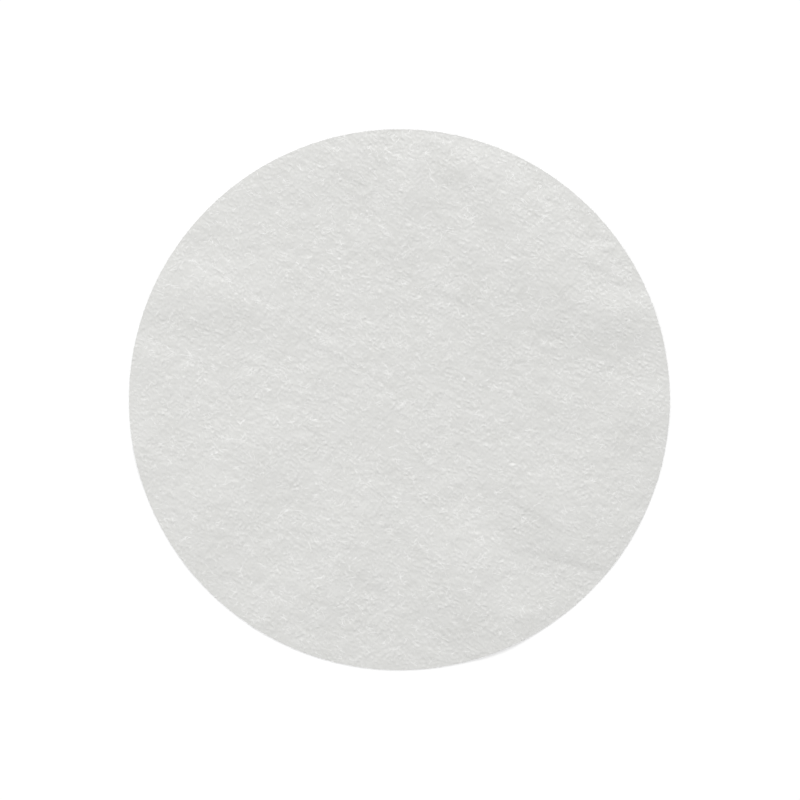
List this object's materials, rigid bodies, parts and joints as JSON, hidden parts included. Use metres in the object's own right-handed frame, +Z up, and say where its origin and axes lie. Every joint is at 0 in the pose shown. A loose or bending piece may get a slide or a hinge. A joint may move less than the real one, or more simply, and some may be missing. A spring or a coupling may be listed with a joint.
{
  "type": "filter paper disc",
  "caption": "Round die-cut disc of white filter paper, lying flat with a few shallow cockles, that lines a funnel or filter holder and strains a liquid.",
  "frame": {"origin": "centre of the disc, on the plane that its underside rests on", "axes": "+Z up out of the upper face, +Y towards the top of the picture, +X to its right"},
  "size_m": [0.09, 0.09, 0.0008],
  "materials": {
    "filter_paper": "matt, fibrous, uncoated"
  },
  "bodies": {
    "root": {"filter_paper": "filter_paper"}
  },
  "joints": []
}
